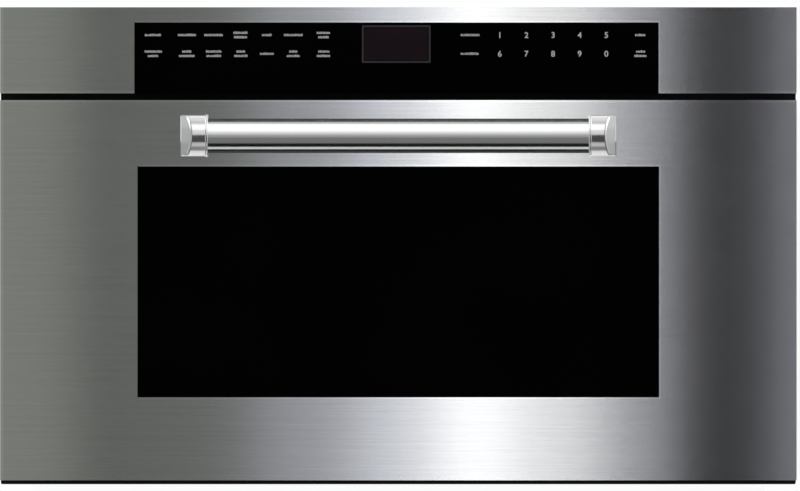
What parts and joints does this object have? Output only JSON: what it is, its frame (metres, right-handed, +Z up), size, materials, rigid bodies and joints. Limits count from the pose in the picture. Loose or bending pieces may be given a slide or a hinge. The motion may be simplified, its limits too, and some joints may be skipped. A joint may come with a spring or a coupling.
{
  "type": "built-in convection microwave oven",
  "caption": "Wide built-in microwave oven with a drop-down steel door, a black glass window, a tubular handle and a touch control panel above.",
  "frame": {"origin": "centre of the bounding box in plan, at the bottom of the feet and of the front frame", "axes": "+X to the viewer's right, -Y out of the door, +Z up"},
  "size_m": [0.759, 0.6378, 0.454],
  "materials": {
    "brushed_steel": "horizontally brushed stainless steel",
    "handle_steel": "fine satin stainless tube",
    "cap_chrome": "satin chrome plate",
    "black_glass": "polished black glass",
    "black_steel": "satin black paint",
    "galvanised": "zinc-coated sheet steel",
    "cavity_enamel": "grey enamelled steel",
    "core_steel": "laminated steel core and varnished winding",
    "heater_steel": "dark sheathed heating tube",
    "screw_steel": "bright plated steel",
    "spring_steel": "oiled spring steel",
    "light_alloy": "plain light alloy",
    "black_plastic": "satin black plastic",
    "pale_plastic": "heat-proof pale plastic",
    "display": "dark display block",
    "board": "circuit board",
    "mica": "pressed mica sheet",
    "fibre": "mineral fibre blanket",
    "foot_rubber": "black rubber",
    "clear_glass": "clear tempered glass",
    "lamp_glass": "clear lamp glass"
  },
  "bodies": {
    "case": {"front_frame": "black_steel", "case_base": "galvanised", "case_cover": "galvanised", "rear_cover": "galvanised", "feet": "foot_rubber", "case_screws": "screw_steel", "cavity": "cavity_enamel", "insulation": "fibre", "waveguide": "galvanised", "waveguide_cover": "mica", "magnetron": "light_alloy", "hv_transformer": "core_steel", "hv_capacitor": "light_alloy", "blower_housing": "black_plastic", "blower_motor": "core_steel", "lamp_housing": "galvanised", "lamp_bulb": "lamp_glass", "convection_housing": "galvanised", "heater_element": "heater_steel", "convection_motor": "core_steel", "turntable_motor": "core_steel", "fascia_skin": "brushed_steel", "fascia_carrier": "black_plastic", "control_glass": "black_glass", "touch_board": "board", "display_module": "display", "control_board": "board", "noise_filter": "board", "cord_bush": "black_plastic", "hinge_plates": "screw_steel", "latch_brackets": "galvanised", "interlock_switches": "black_plastic"},
    "turntable": {"turntable": "clear_glass", "drive_coupler": "pale_plastic"},
    "roller_ring": {"roller_ring": "pale_plastic"},
    "roller_1": {"roller_1": "pale_plastic"},
    "roller_2": {"roller_2": "pale_plastic"},
    "roller_3": {"roller_3": "pale_plastic"},
    "convection_fan": {"convection_fan": "galvanised", "fan_shaft": "screw_steel"},
    "blower_wheel": {"blower_wheel": "black_plastic"},
    "plunger_1": {"switch_plunger_1": "pale_plastic"},
    "plunger_2": {"switch_plunger_2": "pale_plastic"},
    "plunger_3": {"switch_plunger_3": "pale_plastic"},
    "door": {"door_skin": "brushed_steel", "door_glass": "black_glass", "door_frame": "black_steel", "door_choke": "galvanised", "door_screen": "black_steel", "door_inner_glass": "clear_glass", "choke_cover": "black_plastic", "door_panel": "black_steel", "handle_bar": "handle_steel", "handle_cap_left": "cap_chrome", "handle_cap_right": "cap_chrome", "handle_screws": "screw_steel", "hinge_pins": "screw_steel", "hinge_channels": "galvanised", "hinge_springs": "spring_steel", "latch_prongs": "black_plastic"}
  },
  "joints": [
    {"name": "door_hinge", "type": "hinge", "parent": "case", "child": "door", "pos_m": [0, -0.2166, 0.012], "axis": [1, 0, 0], "range_deg": [0, 90], "stiffness_Nm_per_rad": 6, "springref_deg": -25.78},
    {"name": "turntable_turn", "type": "hinge", "parent": "case", "child": "turntable", "pos_m": [0, -0.0001, 0.0833], "axis": [0, 0, 1], "continuous": true},
    {"name": "roller_ring_turn", "type": "hinge", "parent": "case", "child": "roller_ring", "pos_m": [0, -0.0001, 0.07415], "axis": [0, 0, 1], "continuous": true},
    {"name": "roller_1_spin", "type": "hinge", "parent": "roller_ring", "child": "roller_1", "pos_m": [0.1505, -0.0001, 0.07415], "axis": [1, 0, 0], "continuous": true},
    {"name": "roller_2_spin", "type": "hinge", "parent": "roller_ring", "child": "roller_2", "pos_m": [-0.07525, 0.13024, 0.07415], "axis": [-0.5, 0.866, 0], "continuous": true},
    {"name": "roller_3_spin", "type": "hinge", "parent": "roller_ring", "child": "roller_3", "pos_m": [-0.07525, -0.13044, 0.07415], "axis": [-0.5, -0.866, 0], "continuous": true},
    {"name": "convection_fan_spin", "type": "hinge", "parent": "case", "child": "convection_fan", "pos_m": [0, 0.2259, 0.1925], "axis": [0, 1, 0], "continuous": true},
    {"name": "blower_spin", "type": "hinge", "parent": "case", "child": "blower_wheel", "pos_m": [0.257, 0.2619, 0.1725], "axis": [1, 0, 0], "continuous": true},
    {"name": "plunger_1_slide", "type": "slide", "parent": "case", "child": "plunger_1", "axis": [0, -1, 0], "range_m": [0, 0.0012]},
    {"name": "plunger_2_slide", "type": "slide", "parent": "case", "child": "plunger_2", "axis": [0, -1, 0], "range_m": [0, 0.0012]},
    {"name": "plunger_3_slide", "type": "slide", "parent": "case", "child": "plunger_3", "axis": [0, -1, 0], "range_m": [0, 0.0012]}
  ],
  "couplings": [
    {"joint": "roller_ring_turn", "follows": "turntable_turn", "ratio": 0.5},
    {"joint": "roller_1_spin", "follows": "turntable_turn", "ratio": -8.3611},
    {"joint": "roller_2_spin", "follows": "turntable_turn", "ratio": -8.3611},
    {"joint": "roller_3_spin", "follows": "turntable_turn", "ratio": -8.3611},
    {"joint": "plunger_1_slide", "follows": "door_hinge", "m_per_rad": 0.00076},
    {"joint": "plunger_2_slide", "follows": "door_hinge", "m_per_rad": 0.00076},
    {"joint": "plunger_3_slide", "follows": "door_hinge", "m_per_rad": 0.00076}
  ]
}
